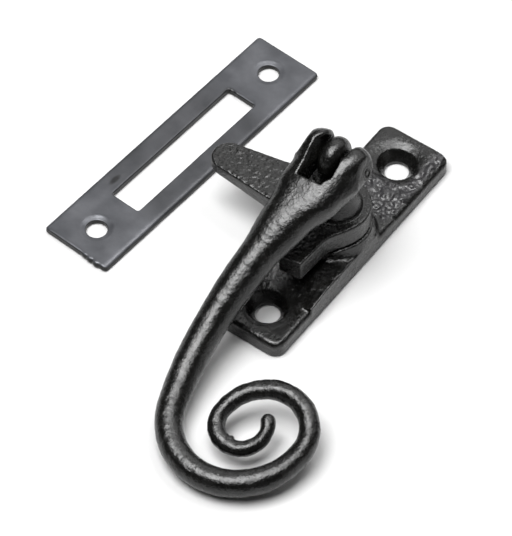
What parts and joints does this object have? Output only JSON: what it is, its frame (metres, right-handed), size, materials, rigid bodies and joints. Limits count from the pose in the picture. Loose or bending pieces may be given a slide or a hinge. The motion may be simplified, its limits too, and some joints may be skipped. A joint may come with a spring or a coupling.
{
  "type": "casement window fastener",
  "caption": "Curled-tail casement fastener: turning latch on a screw-down backplate, fold-over handle and a slotted strike plate.",
  "frame": {"origin": "where the spindle axis meets the underside of the backplate", "axes": "+Z out of the plate, away from the window frame; +Y along the backplate, away from the handle; -X is the way the tongue points at rest"},
  "size_m": [0.088, 0.1138, 0.0356],
  "materials": {
    "black_paint": "semi-gloss black paint over a pitted casting",
    "plain_steel": "plain turned steel, lightly oiled",
    "grey_satin": "thin dark grey satin coat on smooth sheet steel"
  },
  "bodies": {
    "base": {"backplate": "black_paint", "spring_washer": "plain_steel"},
    "latch": {"latch_body": "black_paint", "pivot_stud": "plain_steel"},
    "handle": {"handle": "black_paint", "hinge_pin": "black_paint"},
    "strike": {"strike_plate": "grey_satin"}
  },
  "joints": [
    {"name": "latch_turn", "type": "hinge", "parent": "base", "child": "latch", "pos_m": [0, 0, 0], "axis": [0, 0, 1], "continuous": true},
    {"name": "handle_flip", "type": "hinge", "parent": "latch", "child": "handle", "pos_m": [0, 0, 0.0305], "axis": [-0.9974, -0.0715, 0], "range_deg": [0, 215]},
    {"name": "strike_slide", "type": "slide", "parent": "base", "child": "strike", "axis": [-0.9977, 0.068, 0], "range_m": [0, 0.045]}
  ]
}
